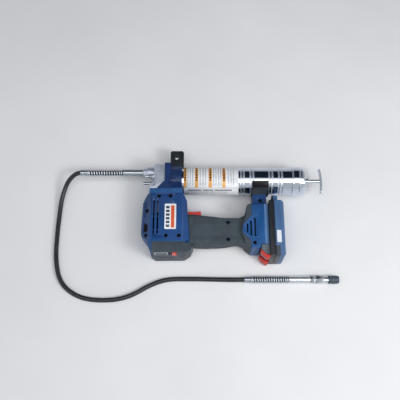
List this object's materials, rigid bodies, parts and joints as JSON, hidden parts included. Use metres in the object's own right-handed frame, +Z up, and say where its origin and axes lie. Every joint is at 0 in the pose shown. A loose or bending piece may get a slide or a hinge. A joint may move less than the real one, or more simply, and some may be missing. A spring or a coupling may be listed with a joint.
{
  "type": "cordless grease gun",
  "caption": "Pistol-grip cordless grease gun with cartridge barrel, pull-out follower rod, slide-on battery and a whip hose with spring guards.",
  "frame": {"origin": "centre of the gun's footprint, on the surface that it lies on, measured without the hose", "axes": "+X along the barrel towards the T-handle, +Y from the grip towards the barrel, +Z up, out of the side that faces up"},
  "size_m": [0.5863, 0.3193, 0.072],
  "materials": {
    "blue_shell": "fine moulded grain, satin",
    "grip_rubber": "matte soft skin",
    "black_screw": "black oxide",
    "badge": "printed film, blank",
    "cast_head": "fine cast, matte",
    "steel": "turned",
    "chrome": "polished",
    "barrel_chrome": "bright plated",
    "black_plastic": "satin",
    "slate_plastic": "fine grain",
    "grey_plastic": "satin",
    "dark_window": "clear smoked",
    "red_plastic": "satin",
    "board": "lacquered board",
    "copper_rotor": "windings on a laminated core",
    "battery_blue": "fine grain",
    "cell_wrap": "shrink wrap",
    "seal_rubber": "oiled",
    "hose_rubber": "smooth cover, satin"
  },
  "bodies": {
    "gun": {"housing_near": "blue_shell", "housing_far": "blue_shell", "grip_near": "grip_rubber", "grip_far": "grip_rubber", "housing_screws": "black_screw", "badge_plate": "badge", "pump_head": "cast_head", "head_plug": "steel", "check_ball": "chrome", "check_spring": "steel", "outlet_adapter": "cast_head", "vent_valve_body": "steel", "filler_nipple": "steel", "strap_lug": "black_plastic", "end_cap": "slate_plastic", "display_bezel": "grey_plastic", "display_window": "dark_window", "led_lens": "dark_window", "circuit_board": "board", "barrel_cradle": "black_plastic", "motor_can": "steel", "motor_bearings": "chrome", "gearbox_case": "cast_head", "crank_bearing": "chrome", "trigger_switch": "black_plastic", "terminal_block": "black_plastic", "hose": "hose_rubber", "hose_ferrule": "steel", "hose_guard": "steel", "hose_collar": "steel", "tip_collar": "steel", "tip_guard": "steel", "tip_ferrule": "steel", "tip_fitting": "steel", "coupler_body": "black_plastic", "coupler_jaws": "steel"},
    "trigger": {"trigger": "red_plastic"},
    "battery": {"battery_case": "black_plastic", "battery_cover": "battery_blue", "battery_cells": "cell_wrap"},
    "latch_near": {"latch_near": "red_plastic"},
    "latch_far": {"latch_far": "red_plastic"},
    "barrel": {"barrel_tube": "barrel_chrome", "barrel_label": "badge", "barrel_cap": "barrel_chrome", "follower_spring": "steel"},
    "follower": {"follower_rod": "chrome", "t_handle": "chrome", "follower_plate": "steel", "follower_seal": "seal_rubber"},
    "vent_stem": {"vent_valve_stem": "chrome"},
    "display_button": {"display_button": "red_plastic"},
    "rotor": {"motor_rotor": "copper_rotor"},
    "crank": {"crank": "steel", "crank_roller": "chrome"},
    "planet_1": {"planet_gear_1": "steel"},
    "planet_2": {"planet_gear_2": "steel"},
    "planet_3": {"planet_gear_3": "steel"},
    "plunger": {"plunger_yoke": "steel"}
  },
  "joints": [
    {"name": "trigger_pull", "type": "slide", "parent": "gun", "child": "trigger", "axis": [0, -1, 0], "range_m": [0, 0.007], "stiffness_N_per_m": 900},
    {"name": "battery_slide", "type": "slide", "parent": "gun", "child": "battery", "axis": [0, -1, 0], "range_m": [0, 0.021]},
    {"name": "latch_near_press", "type": "slide", "parent": "battery", "child": "latch_near", "axis": [0, 0, -1], "range_m": [0, 0.0025], "stiffness_N_per_m": 1200},
    {"name": "latch_far_press", "type": "slide", "parent": "battery", "child": "latch_far", "axis": [0, 0, 1], "range_m": [0, 0.0025], "stiffness_N_per_m": 1200},
    {"name": "barrel_turn", "type": "hinge", "parent": "gun", "child": "barrel", "pos_m": [0, 0.053, 0.036], "axis": [1, 0, 0], "continuous": true},
    {"name": "follower_pull", "type": "slide", "parent": "barrel", "child": "follower", "axis": [1, 0, 0], "range_m": [0, 0.15], "deforming": ["follower_spring"]},
    {"name": "vent_press", "type": "slide", "parent": "gun", "child": "vent_stem", "axis": [1, 0, 0], "range_m": [0, 0.002], "stiffness_N_per_m": 1200},
    {"name": "button_press", "type": "slide", "parent": "gun", "child": "display_button", "axis": [0, 1, 0], "range_m": [0, 0.0012], "stiffness_N_per_m": 800},
    {"name": "crank_spin", "type": "hinge", "parent": "gun", "child": "crank", "pos_m": [-0.141, 0, 0.036], "axis": [0, 1, 0], "continuous": true},
    {"name": "rotor_spin", "type": "hinge", "parent": "gun", "child": "rotor", "pos_m": [-0.141, 0, 0.036], "axis": [0, 1, 0], "continuous": true},
    {"name": "plunger_stroke", "type": "slide", "parent": "gun", "child": "plunger", "axis": [1, 0, 0], "range_m": [-0.004, 0.004]},
    {"name": "planet_1_spin", "type": "hinge", "parent": "crank", "child": "planet_1", "pos_m": [-0.126, 0, 0.036], "axis": [0, 1, 0], "continuous": true},
    {"name": "planet_2_spin", "type": "hinge", "parent": "crank", "child": "planet_2", "pos_m": [-0.1485, 0, 0.02301], "axis": [0, 1, 0], "continuous": true},
    {"name": "planet_3_spin", "type": "hinge", "parent": "crank", "child": "planet_3", "pos_m": [-0.1485, 0, 0.04899], "axis": [0, 1, 0], "continuous": true}
  ],
  "couplings": [
    {"joint": "rotor_spin", "follows": "crank_spin", "ratio": 5},
    {"joint": "planet_1_spin", "follows": "crank_spin", "ratio": -2.6667},
    {"joint": "planet_2_spin", "follows": "crank_spin", "ratio": -2.6667},
    {"joint": "planet_3_spin", "follows": "crank_spin", "ratio": -2.6667}
  ]
}
